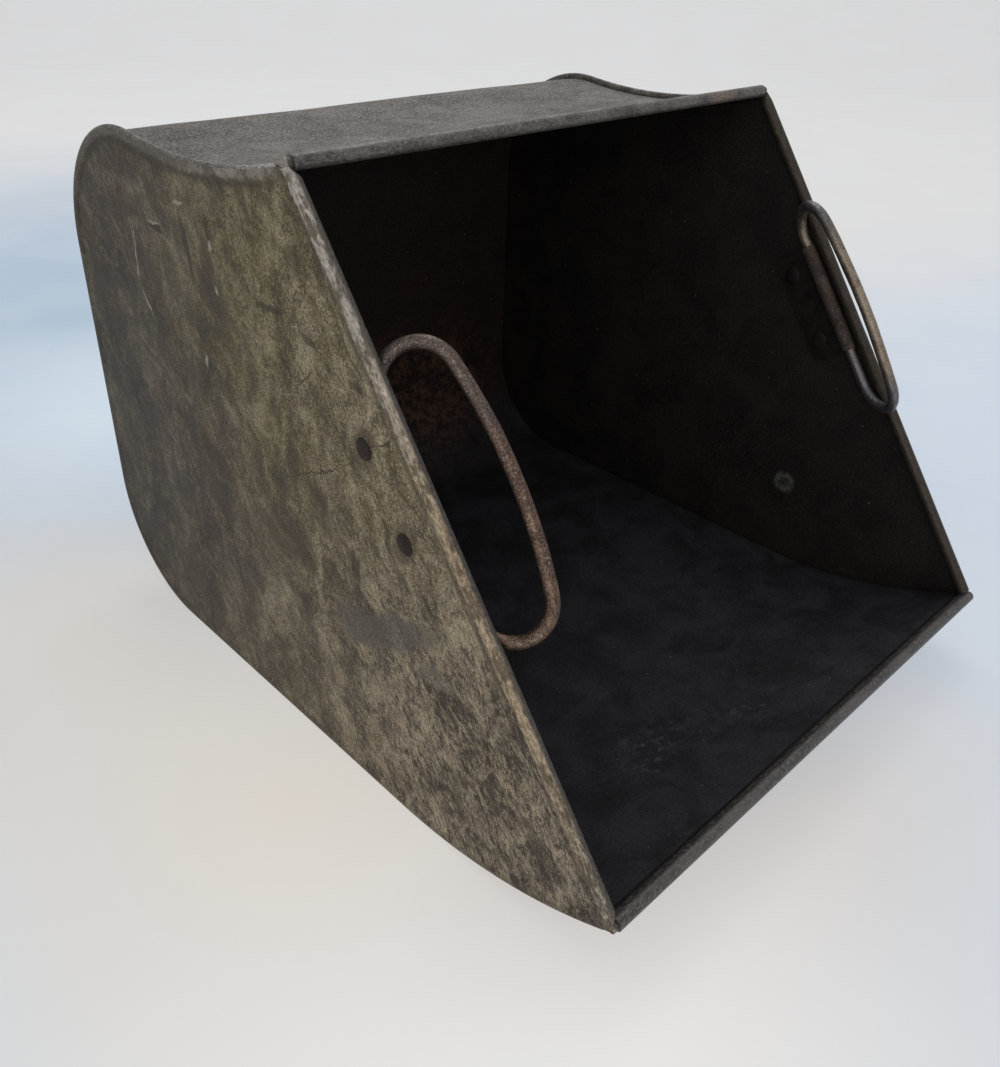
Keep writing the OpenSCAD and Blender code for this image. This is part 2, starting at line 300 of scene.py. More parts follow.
def screen(colour):
    """Linear light for a colour given as it shows on a screen, 0 to 255."""
    return tuple(c / 12.92 if c <= 0.04045 else ((c + 0.055) / 1.055) ** 2.4
                 for c in (v / 255 for v in colour))


class Finish:
    """A material made of nodes, in the object's coordinates. Colours in whole numbers are the screen's."""

    def __init__(self, name):
        self.material = bpy.data.materials.new(name)
        self.material.use_nodes = True
        self.tree = self.material.node_tree
        self.tree.nodes.clear()
        self.where = self.node("TexCoord").outputs["Object"]

    def link(self, socket, value):
        if isinstance(value, bpy.types.NodeSocket):
            self.tree.links.new(value, socket)
        elif socket.type == "RGBA":
            socket.default_value = (*(screen(value) if isinstance(value[0], int) else value), 1.0)
        else:
            socket.default_value = value

    def node(self, kind, inputs=(), **props):
        """A new node, its properties set and its inputs linked or given values."""
        n = self.tree.nodes.new("ShaderNode" + kind)
        for k, v in props.items():
            setattr(n, k, v)
        for k, v in dict(inputs).items():
            self.link(n.inputs[k], v)
        return n

    def maths(self, op, a, b=0.0):
        return self.node("Math", {0: a, 1: b}, operation=op).outputs[0]

    def chain(self, op, out, *rest):
        for value in rest:
            out = self.maths(op, out, value)
        return out

    def times(self, *values):
        return self.chain("MULTIPLY", *values)

    def plus(self, a, b):
        return self.maths("ADD", a, b)

    def less(self, a, b):
        return self.maths("SUBTRACT", a, b)

    def swing(self, value, gain):
        """How far a value stands from one half, times a gain."""
        return self.times(self.less(value, 0.5), gain)

    def most(self, *masks):
        return self.chain("MAXIMUM", *masks)

    def vector(self, op, a, b):
        return self.node("VectorMath", {0: a, "Scale" if op == "SCALE" else 1: b}, operation=op).outputs[0]

    def moved(self, scale=(1, 1, 1), turn=0.0, shift=(0, 0, 0), where=None, **props):
        """The coordinates scaled, turned about X and shifted."""
        inputs = {"Vector": where or self.where, "Scale": scale, "Rotation": (turn, 0, 0), "Location": shift}
        return self.node("Mapping", inputs, **props).outputs[0]

    def mouth(self):
        """Coordinates with the mouth's edge upright, and the distance inward from it."""
        turned = self.moved(turn=SLANT)
        return turned, self.less(self.axis("Y", turned), EDGE_AT)

    def axis(self, which, where=None):
        return self.node("SeparateXYZ", {0: where or self.where}).outputs["XYZ".index(which)]

    def off_middle(self):
        """Distance from the middle of the width."""
        return self.maths("ABSOLUTE", self.axis("X"))

    def mark(self, label):
        """A value kept at the mesh's points."""
        return self.node("Attribute", attribute_name=label).outputs["Fac"]

    def noise(self, scale, detail=4.0, rough=0.55, where=None, twist=0.0, colour=False):
        """Noise with scale lumps in a metre."""
        inputs = {"Vector": where or self.where, "Scale": scale, "Detail": detail, "Roughness": rough,
                  "Distortion": twist}
        return self.node("TexNoise", inputs).outputs["Color" if colour else "Fac"]

    def warped(self, scale, amount):
        """The coordinates pushed about by noise, for ragged edges."""
        centred = self.vector("SUBTRACT", self.noise(scale, 3.0, colour=True), (0.5, 0.5, 0.5))
        return self.vector("ADD", self.where, self.vector("SCALE", centred, amount))

    def span(self, value, low, high, to_low=0.0, to_high=1.0, soft=True):
        """A value carried from one range to another, and held at its ends."""
        inputs = {"Value": value, "From Min": low, "From Max": high, "To Min": to_low, "To Max": to_high}
        kind = "SMOOTHSTEP" if soft else "LINEAR"
        return self.node("MapRange", inputs, interpolation_type=kind).outputs["Result"]

    def blot(self, centre, size, turn, soft, where=None):
        """1 inside an ellipsoid turned about X, 0 outside, with a soft edge. Sizes are half axes."""
        away = self.moved(size, turn, centre, where, vector_type="TEXTURE")
        far = self.node("VectorMath", {0: away}, operation="LENGTH").outputs["Value"]
        return self.span(far, 1 + soft, 1 - soft)

    def spot(self, at, size, turn, soft, where, reach=0.02):
        """The same on the photographed side, at (Y, Z)."""
        return self.blot((-HALF_WIDTH / 1000, *at), (reach, *size), turn, soft, where)

    def mix(self, fac, a, b):
        return self.node("Mix", {0: fac, 6: a, 7: b}, data_type="RGBA", clamp_factor=True).outputs[2]

    def over(self, colour, tint, *masks):
        """A tint laid over a colour where all the masks hold."""
        return self.mix(self.times(*masks), colour, tint)

    def coat(self, tint, *masks):
        """A tint laid over the finish so far."""
        self.colour = self.over(self.colour, tint, *masks)

    def grit(self, *row):
        """Grains on the finish so far."""
        self.colour = self.grains(self.colour, *row)

    def fade(self, value, low, high, below, above):
        """One colour turning into another as a value rises."""
        return self.mix(self.span(value, low, high), below, above)

    def grains(self, colour, noise, end, strength, tint, start=0.5):
        """Fine grains of a tint where a noise runs from start to end."""
        return self.mix(self.span(noise, start, end, 0.0, strength, soft=False), colour, tint)

    def shader(self, clouds, rough, metal, specular, *bumps):
        """Principled, its roughness following clouds, with bumps from (height, strength, distance)."""
        rough = self.span(clouds, 0.3, 0.7, *rough)
        bsdf = self.node("BsdfPrincipled", {"Base Color": self.colour, "Roughness": rough, "Metallic": metal,
                                            "Specular IOR Level": specular})
        normal = bsdf.inputs["Normal"]
        for height, strength, distance in reversed(bumps):
            bump = self.node("Bump", {"Height": height, "Strength": strength, "Distance": distance})
            self.link(normal, bump.outputs[0])
            normal = bump.inputs["Normal"]
        self.node("OutputMaterial", {0: bsdf.outputs[0]})
        return self.material


# Marks of the photographed side, in millimetres: Y, Z, half length, half width, and which way
DARK_MARKS = (
    (69.9, 219.8, 14, 2.2, -1.75), (49.8, 230.2, 6.8, 2.2, -1.86), (8.8, 210, 10.3, 1.5, 3.02),
    (-38.5, 113.8, 7.8, 2.8, -1.71), (-16.4, 204.3, 5, 2, -2.7), (136.2, 201.5, 2.9, 2, -2.87),
    (95.7, 221.7, 6.8, 1.6, 0.05), (-44, 195.3, 5.2, 2, 0.3), (-74.1, 32.3, 2.2, 1.3, 1.45),
    (-103.3, 44.9, 2.2, 1, 1.4), (-107.4, 18.9, 3.2, 1.5, 1.8))
BROWN_MARKS = (
    (66.1, 120.2, 16.5, 5.5, -2.65), (11.6, 103.9, 20.2, 10, 3.14), (0.8, 148.4, 6.5, 5.5, -3.01),
    (-9.6, 232.7, 5.5, 5, -2.98), (54, 217.8, 11, 4.5, -1.75), (-16.5, 131.7, 11, 6, -1.9))
PALE_MARKS = (
    (72.4, 237.1, 4.4, 0.8, 3.09), (49.2, 224.5, 2.4, 1.4, -1.66), (47.9, 206.4, 2.5, 1.4, -1.66),
    (64.3, 171, 2.6, 1.2, -1.34), (119.6, 204.4, 13.4, 0.6, -1.48), (115.8, 184, 8.6, 0.6, -2.19),
    (97, 223.8, 5, 0.7, 0.05), (-102, 74.8, 11.4, 0.5, -2.6), (58, 252, 4, 0.6, -0.6))
CUT_LINES = (
    (-13.7, 148.2, 31.6, 0.35, 2.62), (-13.2, 188.2, 6.5, 0.4, 2.54), (-57, 177, 12, 0.35, 2.6))
# Its broader patches, in metres, with the softness of their edges as well
OLIVE = ((-0.02, 0.2), (0.1, 0.085), -0.3, 0.7)
COLD_PATCH = ((0.19, 0.098), (0.026, 0.013), -1.2, 0.6)
SOOT_PATCH = ((0.198, 0.15), (0.038, 0.016), -1.5, 0.6)
PATCH_REACH = 0.05
SMEARS = (((-0.06, 0.0945), (0.032, 0.0085), -0.515, 0.6), ((-0.04, 0.086), (0.018, 0.009), -0.2, 0.6))
WORN_PALE = (((0.048, 0.152), (0.0075, 0.0028), -2.46, 0.6), ((-0.087, 0.0886), (0.0095, 0.0042), -3.08, 0.6))
RUBBED_BEAD = ((0.045, 0.245), (0.048, 0.012), -0.42, 0.6)
RIVET_STAIN = ((0.0105, 0.0062), -1.1, 0.7)
RIVET_SPOTS = [place(0.0, edge_point(MIDDLE["left"] + k * RIVET_PITCH / 2, AXIS_INSET + RIVET_OFFSET))[1:]
               for k in (-1, 1)]
# Scratches: which way they turn, how many times longer than wide, and the noise above which one shows
SCRATCHES = ((0.5, 7, 0.72), (1.25, 9, 0.725), (-0.5, 8, 0.73), (0.9, 7, 0.72))
# Patches of the other surfaces, in metres: centre and half axes
TOP_SPARKS = ((-0.08, -0.005, 0.262), (0.1, 0.028, 0.03))
TOP_CHALK = ((-0.128, 0.008, 0.262), (0.022, 0.005, 0.03))
ROLL_BARE = ((0.108, -0.012, 0.265), (0.009, 0.01, 0.01))
SEAM_CHALK = ((-0.147, 0.004, 0.262), (0.006, 0.02, 0.02))
RUST = ((0.06, 0.18, 0.05), (0.055, 0.05, 0.04))
SCUFFS = (((-0.049, -0.1245, 0.004), (0.02, 0.012, 0.02)), ((-0.037, -0.176, 0.004), (0.012, 0.01, 0.02)),
          ((-0.003, -0.143, 0.004), (0.014, 0.009, 0.02)))
PALE_SPOT = (0.149, -0.0639, 0.0527)


def bare_rim_and_highlight(f, turned):
    """The worn edge of the mouth's roll: bare tin with a painted highlight that makes it bright, whiter near
    the top and dull near the tip.
    """
    pits = f.noise(1100, 4, 0.8, f.moved((1, 1, 0.35), where=turned))
    runs = f.noise(260, 5, 0.7, f.moved((1, 1, 0.3), where=turned))
    pale = f.fade(f.axis("Z"), 0.15, 0.24, (146, 128, 102), (152, 146, 138))
    pale = f.over(pale, (98, 90, 78), f.span(f.axis("Z"), 0.1, 0.03))
    pale = f.grains(pale, pits, 0.72, 0.85, (206, 196, 178))
    pale = f.over(pale, (82, 69, 54), f.span(runs, 0.48, 0.56), 0.8)
    return f.grains(pale, pits, 0.28, 0.9, (52, 42, 32))


def plate_base(f, back, near, ragged):
    """The plate's tone before wear: olive above, brown grey behind where painted shade darkens it, and tan
    toward the tip as painted light.
    """
    loose = f.warped(45, 0.016)
    # painted shade: the plate darkens toward the back
    f.colour = f.mix(back, (96, 86, 69), (57, 51, 42))
    f.coat((95, 85, 53), f.spot(*OLIVE, ragged, PATCH_REACH), 0.9)
    # painted light: a lighter tan at the lower front tip
    f.coat((113, 101, 88), near, 0.85)
    f.coat((78, 65, 50), f.span(f.noise(13, 4, 0.6, twist=0.4), 0.45, 0.65), 0.55)
    f.coat((92, 89, 85), f.spot(*COLD_PATCH, loose, PATCH_REACH), 0.7)
    f.coat((44, 40, 36), f.spot(*SOOT_PATCH, loose, PATCH_REACH), 0.75)


def plate_marks(f, clouds, grain, ragged):
    """Scratches, smears, stains and cuts, ragged at their edges."""
    crisp = f.warped(170, 0.005)
    loose = f.warped(45, 0.016)
    for k, (turn, longer, low) in enumerate(SCRATCHES):
        along = f.moved(turn=turn, shift=(k, 0, 0))
        scored = f.noise(420, 2, 0.4, f.moved((1, 1, 1 / longer), where=along))
        tint = (140, 132, 112) if k % 2 else (46, 39, 31)
        f.coat(tint, f.span(scored, low, low + 0.03), 0.45)
    uneven = f.plus(f.swing(clouds, 1.3), f.swing(grain, 1.1))
    smear = f.most(*(f.spot(*row, loose) for row in SMEARS))
    smear = f.span(f.plus(smear, f.times(uneven, 0.8)), 0.2, 1.0)
    f.coat(f.fade(grain, 0.35, 0.65, (66, 63, 58), (102, 98, 92)), smear, 0.68)
    worn = f.most(*(f.spot(*row, ragged) for row in WORN_PALE))
    f.coat((142, 138, 122), worn, f.span(grain, 0.4, 0.6, 0.1, 0.6))
    for marks, soft, where, tint, strength in ((BROWN_MARKS, 0.95, ragged, (52, 40, 30), 0.6),
                                               (DARK_MARKS, 0.95, crisp, (36, 28, 21), 0.72),
                                               (PALE_MARKS, 0.9, crisp, (164, 157, 138), 0.75),
                                               (CUT_LINES, 0.8, ragged, (38, 31, 24), 0.85)):
        spots = f.most(*(f.spot((y / 1000, z / 1000), (a / 1000, b / 1000), turn, soft, where)
                         for y, z, a, b, turn in marks))
        spots = f.span(f.plus(spots, f.times(uneven, spots)), 0.25, 0.85)
        f.coat(tint, spots, f.span(grain, 0.36, 0.58, 0.55 * strength, strength))
    rivets = f.most(*(f.spot(at, *RIVET_STAIN, crisp) for at in RIVET_SPOTS))
    rivets = f.span(f.plus(rivets, f.times(uneven, rivets)), 0.35, 0.75)
    f.coat((62, 48, 34), rivets, 0.6)


def plate_edges(f, clouds, grain, ragged):
    """The seam's bead, lighter on top as a painted highlight, the painted shadow and dirt beside it, painted
    shade along the step inside the rim, and the worn rim with its painted highlight.
    """
    turned, inset = f.mouth()
    crest = f.span(f.axis("Z"), 0.2, 0.25)
    # painted highlight: over its worn tin, the bead and its grains are lighter on top at the crest
    bead = f.mix(crest, (58, 52, 45), (90, 84, 76))
    bead = f.grains(bead, grain, 0.74, 0.8, f.mix(crest, (110, 104, 94), (160, 153, 142)))
    bead = f.grains(bead, grain, 0.28, 0.9, (42, 37, 31))
    rubbed = f.spot(*RUBBED_BEAD, ragged)
    bead = f.over(bead, (156, 150, 140), rubbed, f.span(clouds, 0.42, 0.58, 0.0, 0.8))
    f.coat(bead, f.mark("bead"), f.span(crest, 0, 1, 0.35, 0.85))
    # painted shadow, with some dirt, in the soft valley below the bead on top
    valley_shade_and_dirt = f.fade(grain, 0.45, 0.7, (50, 44, 36), (84, 76, 62))
    f.coat(valley_shade_and_dirt, f.mark("valley"), crest, f.span(clouds, 0.3, 0.6, 0.35, 0.75))
    # painted shade along the set-in step just inside the rim
    step_shade = f.times(f.span(inset, 0.003, 0.0042), f.span(inset, 0.0085, 0.005))
    f.coat((58, 49, 38), step_shade, f.span(clouds, 0.4, 0.58, 0.0, 0.65))
    # the bare worn rim, brightened by a painted highlight
    worn = f.span(f.plus(inset, f.swing(f.noise(260, 5, 0.7), 0.005)), 0.004, 0.0026)
    f.coat(bare_rim_and_highlight(f, turned), worn)


def plate_finish():
    """Old tinned plate gone olive, brown and grey, bright at the rim with a painted highlight, with painted
    shade behind and painted light toward the tip.
    """
    f = Finish("worn_plate")
    turned = f.moved(turn=SLANT)
    ragged = f.warped(70, 0.012)
    # back and near mask the back, where painted shade falls, and the lower front tip, where painted light
    # falls
    back = f.span(f.axis("Y"), -0.06, 0.15)
    near = f.times(f.span(f.axis("Y"), 0.02, -0.09), f.span(f.axis("Z"), 0.17, 0.07))
    tall = f.noise(30, 6, 0.7, f.moved((1, 1, 0.5), 0.1), 0.7)
    clouds = f.noise(80, 7, 0.75, f.moved((1, 1, 0.7), where=turned), 0.8)
    flakes = f.noise(520, 5, 0.62, f.moved((1, 1, 0.42), where=turned), 0.6)
    chips = f.noise(640, 4, 0.62, f.moved((1, 1, 0.38), shift=(0, 3, 0), where=turned), 0.6)
    grain = f.noise(950, 5, 0.9, twist=0.3)
    fibres = f.noise(1300, 3, 0.7, f.moved((1, 1, 0.2), where=f.moved(turn=SLANT - 0.12)), 0.6)

    # one rough tone of fine grain and clouds darkens it to brown and lifts it to bare grey
    tone = 0.5
    for part, gain in ((grain, 1.9), (clouds, 0.95), (tall, 0.9)):
        tone = f.plus(tone, f.swing(part, gain))
    tone = f.plus(tone, f.swing(fibres, f.plus(0.2, near)))
    plate_base(f, back, near, ragged)
    f.grit(tone, 0.18, 1.0, (38, 31, 24))
    # the bright grains dim toward the back as painted shade
    f.grit(tone, 0.95, 1.0, f.mix(back, (190, 178, 149), (122, 114, 98)))
    # crisp flakes, dark ones where the clouds are thick and bare ones between them
    crowd = f.plus(flakes, f.times(f.less(0.5, clouds), 0.8))
    thin = f.plus(chips, f.swing(clouds, 0.8))
    f.coat((46, 37, 28), f.span(crowd, 0.56, 0.578), f.span(near, 0, 1, 0.34, 0.8))
    f.coat((162, 152, 132), f.span(thin, 0.58, 0.605), f.span(near, 0, 1, 0.14, 0.5))
    plate_marks(f, clouds, grain, ragged)
    plate_edges(f, clouds, grain, ragged)
    return f.shader(clouds, (0.42, 0.62), 0.15, 0.18, (tone, 0.4, 0.0005), (crowd, 0.25, 0.0004))


def top_finish():
    """The wrapped sheet's outside: grey brown, with bright grains and faint brown clouds."""
    f = Finish("worn_top")
    broad = f.noise(14, 5, 0.6, f.moved((0.6, 1, 1)), 0.5)
    clouds = f.noise(70, 6, 0.68, f.moved((0.7, 1, 1)), 0.8)
    grain = f.noise(800, 5, 0.8)
    f.colour = f.fade(broad, 0.38, 0.62, (97, 92, 87), (76, 71, 66))
    f.coat((70, 63, 58), f.span(clouds, 0.47, 0.63), 0.6)
    f.grit(grain, 0.68, 0.85, (168, 163, 158))
    f.grit(grain, 0.33, 0.95, (42, 36, 33))
    sparks = f.span(f.noise(1300, 2, 0.5), 0.62, 0.69)
    thick = f.blot(*TOP_SPARKS, 0, 0.7, f.warped(60, 0.02))
    f.coat((196, 192, 186), sparks, f.plus(f.times(thick, 0.8), 0.2))
    chalk = f.blot(*TOP_CHALK, 0, 0.7, f.warped(110, 0.016))
    f.coat((190, 186, 180), chalk, f.span(grain, 0.4, 0.58, 0.15, 0.9))
    return f.shader(clouds, (0.5, 0.72), 0.2, 0.35, (grain, 0.4, 0.0005), (clouds, 0.2, 0.001))


def roll_finish():
    """The rolls across: handled smooth, grey at the top, near black inside the lip."""
    f = Finish("worn_roll")
    _, inset = f.mouth()
    clouds = f.noise(90, 5, 0.65, f.moved((0.5, 1, 1)))
    grain = f.noise(900, 4, 0.8, f.moved((0.6, 1, 1)))
    high = f.span(f.axis("Z"), 0.1, 0.2)
    top = f.fade(clouds, 0.4, 0.62, (96, 95, 93), (74, 71, 68))
    lip = f.fade(clouds, 0.4, 0.62, (66, 64, 64), (48, 44, 43))
    f.colour = f.mix(high, lip, top)
    f.grit(grain, 0.72, 0.7, (146, 141, 134))
    f.grit(grain, 0.3, 0.85, (34, 30, 28))
    worn = f.times(f.span(inset, 0.0034, 0.002), f.span(clouds, 0.42, 0.6, 0.1, 0.6))
    f.coat((104, 102, 101), worn, f.span(high, 0.6, 0.2))
    bare = f.blot(*ROLL_BARE, 0, 0.5, f.warped(160, 0.012))
    f.coat((132, 112, 98), bare, f.span(grain, 0.42, 0.55, 0.15, 0.7))
    f.coat((25, 24, 27), f.span(inset, 0.0042, 0.0058), f.span(high, 0.5, 0.2, 0.0, 0.9))
    return f.shader(clouds, (0.36, 0.55), 0.35, 0.45, (grain, 0.35, 0.0004))


def seam_finish():
    """Folded seams and rolled side edges: bare worn high spots over brown dirt, with a painted highlight on
    top and painted shade on the far roll.
    """
    f = Finish("worn_seam")
    turned, inset = f.mouth()
    clouds = f.noise(110, 5, 0.66)
    grain = f.noise(850, 4, 0.8)
    crest = f.span(f.axis("Z"), 0.18, 0.25)
    # painted highlight: the seam is lighter on top at the crest
    f.colour = f.fade(clouds, 0.4, 0.62, f.mix(crest, (82, 76, 69), (98, 94, 89)), (68, 62, 56))
    f.grit(grain, 0.72, 0.75, (160, 155, 147))
    f.grit(grain, 0.3, 0.85, (42, 36, 31))
    chalk = f.blot(*SEAM_CHALK, 0, 0.6, f.warped(110, 0.014))
    f.coat((184, 181, 175), chalk, f.span(grain, 0.4, 0.58, 0.15, 0.8))
    # along the mouth the roll is bright where it faces out, with a painted highlight, and dark where it turns
    # in
    pits = f.noise(1300, 5, 0.72, f.moved((1, 1, 0.5), where=turned))
    shade = f.fade(pits, 0.4, 0.62, (94, 89, 83), (52, 47, 42))
    rim = f.fade(f.off_middle(), 0.1468, 0.1482, shade, bare_rim_and_highlight(f, turned))
    # painted shade: the far side's roll is darker, with painted glints
    far_rim_shade_and_glints = f.fade(pits, 0.42, 0.62, (66, 57, 47), (38, 32, 26))
    glints = f.span(f.noise(120, 5, 0.7, f.moved((1, 1, 0.4), where=turned)), 0.6, 0.68)
    far_rim_shade_and_glints = f.over(far_rim_shade_and_glints, (134, 118, 100), glints, f.span(pits, 0.35, 0.55), 0.6)
    rim = f.fade(f.axis("X"), 0.0, 0.01, rim, far_rim_shade_and_glints)
    f.coat(rim, f.span(inset, 0.0062, 0.0058))
    return f.shader(clouds, (0.38, 0.58), 0.35, 0.45, (grain, 0.35, 0.0004), (pits, 0.3, 0.0004))


def inside_finish():
    """Soot black, reddish at the back with a rusty patch, scuffed on the floor, which a painted reflection
    makes lighter and bluish.
    """
    f = Finish("sooty_inside")
    clouds = f.noise(34, 6, 0.66, twist=0.6)
    fine = f.noise(480, 4, 0.7)
    # the floor up to its front lip, but not the sides
    flat = f.times(f.span(f.axis("Z"), 0.06, 0.04), f.span(f.axis("Y"), 0.11, 0.06))
    sheet = f.span(f.off_middle(), 0.1482, 0.1476)
    low = f.times(f.most(f.span(f.axis("Z"), 0.045, 0.008), flat), sheet)
    wall = f.times(f.span(f.axis("Y"), 0.15, 0.176), f.span(low, 0.9, 0.3))
    f.colour = f.fade(clouds, 0.36, 0.66, (19, 15, 14), (31, 25, 22))
    f.coat(f.fade(clouds, 0.38, 0.62, (30, 20, 18), (44, 28, 24)), wall, 0.8)
    # painted reflection: the floor inside lighter and bluish
    f.coat(f.fade(clouds, 0.36, 0.66, (33, 31, 34), (50, 48, 52)), low)
    rust = f.blot(*RUST, 0, 0.7, f.warped(30, 0.03))
    f.coat((100, 69, 51), rust, f.span(f.noise(170, 6, 0.75), 0.44, 0.6), 0.85)
    scuffs = f.most(*(f.blot(*row, 0, 0.9, f.warped(60, 0.02)) for row in SCUFFS))
    f.coat((98, 98, 102), scuffs, f.span(f.noise(210, 5, 0.7), 0.5, 0.66), 0.55)
    dirt = f.noise(800, 4, 0.85)
    f.grit(dirt, 0.7, 0.4, (66, 62, 62))
    f.grit(dirt, 0.32, 0.8, (10, 8, 9))
    f.coat((104, 98, 92), f.span(f.noise(330, 2, 0.5), 0.735, 0.76), 0.5)
    ring, core = (f.blot(PALE_SPOT, (0.02, r, r), 0, 0.35, f.warped(160, 0.004)) for r in (0.0062, 0.0036))
    halo = f.less(ring, f.times(core, 0.6))
    f.coat((106, 108, 104), halo, f.span(fine, 0.35, 0.6, 0.15, 0.6))
    return f.shader(clouds, (0.62, 0.8), 0.0, 0.25, (fine, 0.2, 0.0005), (clouds, 0.15, 0.002))


def wire_finish():
    """Pitted iron wire: brown near; the far ring painted lighter as lit, cooler at its bends and warm between
    them.
    """
    f = Finish("rusty_wire")
    patchy = f.noise(110, 5, 0.7)
    pits = f.noise(1200, 4, 0.75)
    far = f.span(f.axis("X"), 0.0, 0.01)
    height = f.axis("Z")
    f.colour = f.fade(patchy, 0.4, 0.6, (108, 86, 72), (76, 59, 50))
    f.coat((86, 79, 77), f.span(height, 0.175, 0.205), 0.6)
    # painted light: the far ring's run between its bends lighter and warm
    warm = f.times(far, f.times(f.span(height, 0.22, 0.2), f.span(height, 0.138, 0.152)))
    f.coat((150, 138, 122), warm, f.span(patchy, 0.38, 0.58, 0.3, 0.95))
    # painted light: the far ring's bends lighter and cool
    bends = f.most(f.span(height, 0.2, 0.225), f.span(height, 0.152, 0.138))
    f.coat((104, 106, 112), bends, far, 0.85)
    f.grit(pits, 0.74, 0.7, (190, 176, 160), 0.52)
    f.grit(pits, 0.28, 0.9, (40, 30, 25), 0.48)
    return f.shader(patchy, (0.34, 0.52), 0.75, 0.5, (pits, 0.35, 0.0004), (patchy, 0.3, 0.001))


def iron_finish():
    """Brackets and rivets: sooted iron, brown on the tube, dark heads outside."""
    f = Finish("sooty_iron")
    patchy = f.noise(130, 5, 0.66)
    pits = f.noise(900, 4, 0.75)
    soot = f.fade(patchy, 0.4, 0.62, (16, 13, 12), (25, 21, 19))
    brown = f.fade(patchy, 0.4, 0.62, (66, 57, 51), (48, 40, 35))
    brown = f.grains(brown, pits, 0.72, 0.8, (112, 100, 90))
    heads = f.fade(pits, 0.42, 0.66, (31, 24, 19), (54, 43, 35))
    f.colour = f.fade(f.off_middle(), 0.1458, 0.1454, soot, brown)
    f.coat(heads, f.span(f.off_middle(), 0.149, 0.1494))
    return f.shader(patchy, (0.55, 0.75), 0.15, 0.28, (pits, 0.4, 0.0005))


PLATE, TOP, ROLL, SEAM = plate_finish(), top_finish(), roll_finish(), seam_finish()
INSIDE, WIRE, IRON = inside_finish(), wire_finish(), iron_finish()

# Where the wrapped sheet's flanges, its corner notches and the left and right ends of its rolls stand
FLANGE_FACE = HALF_WIDTH - SHEET - FOLD_GAP
NOTCH = HALF_WIDTH - 2 * CURL_OUT - 0.3
TOP_ROLL_ENDS = (145.4, 146.0)
LIP_ROLL_ENDS = (146.0, HALF_WIDTH - CURL_SHORT)
# The ends of each side's roll along the mouth
ROLL_SPAN = {"left": (1.4, MOUTH_LENGTH - 1.2), "right": (1.6, CURL_TO)}


def finish_piece(obj, body, node):
    """Puts a piece on its body, in the place of its node."""
    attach(obj, body)
    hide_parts(node)


def wrapped_face(depth, turn):
    """Profile of one face of the wrapped sheet, from the tip of the lip's roll to that of the top's."""
    roll = depth - CURL_DEPTH - ROLL_SLACK
    lip = LIP_CURL + roll * ray(LIP_CURL_ANGLE + 180 + turn[::-1])
    top = TOP_CURL + roll * ray(TOP_CURL_ANGLE - turn[1:])
    return np.concatenate([lip, outline(depth, LIP_CURL_ANGLE, TOP_CURL_ANGLE)[1:], top])


def body_sheet():
    """Floor, back and top in one, rolled outward at both ends, with a flange turned out at each side."""
    dent = waves(11, 18, 45, 170)
    turn = np.linspace(0, CURL_ANGLE, 40)
    n_roll = len(turn)
    outer, inner = wrapped_face(SEAM_HEIGHT, turn), wrapped_face(SEAM_HEIGHT + SHEET, turn)
    way = outer - inner
    way /= np.linalg.norm(way, axis=1)[:, None]
    length = np.concatenate([[0], np.cumsum(np.hypot(*np.diff(inner, axis=0).T))])
    start, end = length[n_roll], length[-n_roll]
    far = smooth(np.minimum(length - start, end - length) / 30)
    inset = (inner - UPPER) @ INWARD
    half = HALF_WIDTH - CURL_SHORT
    x = np.concatenate([[-half, -half + 0.25, -half + 0.45], np.linspace(-half + 2, half - 2, 84),
                        [half - 0.45, half - 0.25, half]])
    build = Build()
    skins = []
    for base in (outer, inner):
        grid = np.repeat(base[:, None, :], len(x), 1)
        at = np.stack(np.broadcast_arrays(x[None, :], length[:, None]), -1)
        lift = SHEET_DENT * dent(at) * far[:, None] * smooth((140 - np.abs(x)) / 30)[None, :]
        grid = grid + way[:, None, :] * lift[..., None]
        skins.append(place(x, grid))
    # the rolled ends stop where the sides' rolls pass, and the sheet is notched there
    rows = np.arange(len(outer))
    rolled = (rows < n_roll + 1) | (rows >= len(outer) - n_roll)
    for rows_here, ends in ((rows < len(outer) / 2, LIP_ROLL_ENDS), (rows >= len(outer) / 2, TOP_ROLL_ENDS)):
        for sign, reach in zip((-1, 1), ends):
            limit = np.where(rolled, reach, np.where(inset < SEAM_STOP, min(reach, NOTCH), FLANGE_FACE))
            for skin in skins:
                past = rows_here[:, None] & (sign * skin[..., 0] * 1000 > limit[:, None])
                skin[..., 0] = np.where(past, sign * limit[:, None] / 1000, skin[..., 0])
    two_skins(build, skins[0], skins[1], slot=0, inner_slot=np.where(rolled, 2, 1), edge_slot=2)
    flange = [cut_outline(d, SEAM_STOP + 0.9) for d in (0.85, SEAM_HEIGHT + 0.4)]
    for sign in (-1, 1):
        faces = (sign * FLANGE_FACE, sign * (FLANGE_FACE - SHEET))
        two_skins(build, *(np.stack([place(face, row) for row in flange], 1) for face in faces))
    obj = build.make("wrapped_sheet", [TOP, INSIDE, ROLL], angle=35)
    finish_piece(obj, "box", "body_sheet")


def hex_points(step):
    """Loose points over the side's field."""
    lo, hi = EDGE_LINE.min(0), EDGE_LINE.max(0)
    rows = []
    for k, z in enumerate(np.arange(lo[1], hi[1], step * 0.866)):
        y = np.arange(lo[0] + (k % 2) * step / 2, hi[0], step)
        rows.append(np.stack([y, np.full_like(y, z)], 1))
    return np.concatenate(rows)


